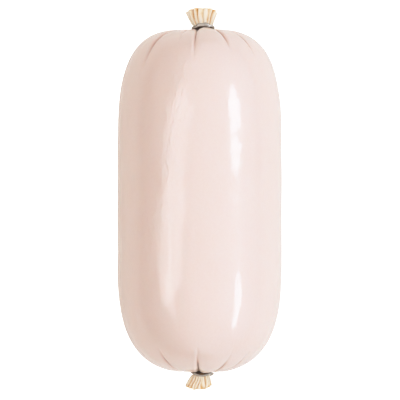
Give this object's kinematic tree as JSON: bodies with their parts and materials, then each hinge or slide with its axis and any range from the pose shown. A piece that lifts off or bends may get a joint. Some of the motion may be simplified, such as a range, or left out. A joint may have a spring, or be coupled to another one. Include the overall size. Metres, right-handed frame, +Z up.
{
  "type": "boiled sausage",
  "caption": "Thick pale boiled sausage in a tight film casing, pleated towards both ends, where a bent wire clip closes it and a short gathered tail of film sticks out.",
  "frame": {"origin": "on the surface that the sausage lies on, under the middle of its length and width", "axes": "+Y along the sausage towards its squarer end, +Z up from the surface, +X across it"},
  "size_m": [0.086, 0.2, 0.0839],
  "materials": {
    "film_over_meat": "satin",
    "clip_wire": "satin"
  },
  "bodies": {
    "root": {"filled_casing": "film_over_meat", "far_clip": "clip_wire", "near_clip": "clip_wire"}
  },
  "joints": []
}
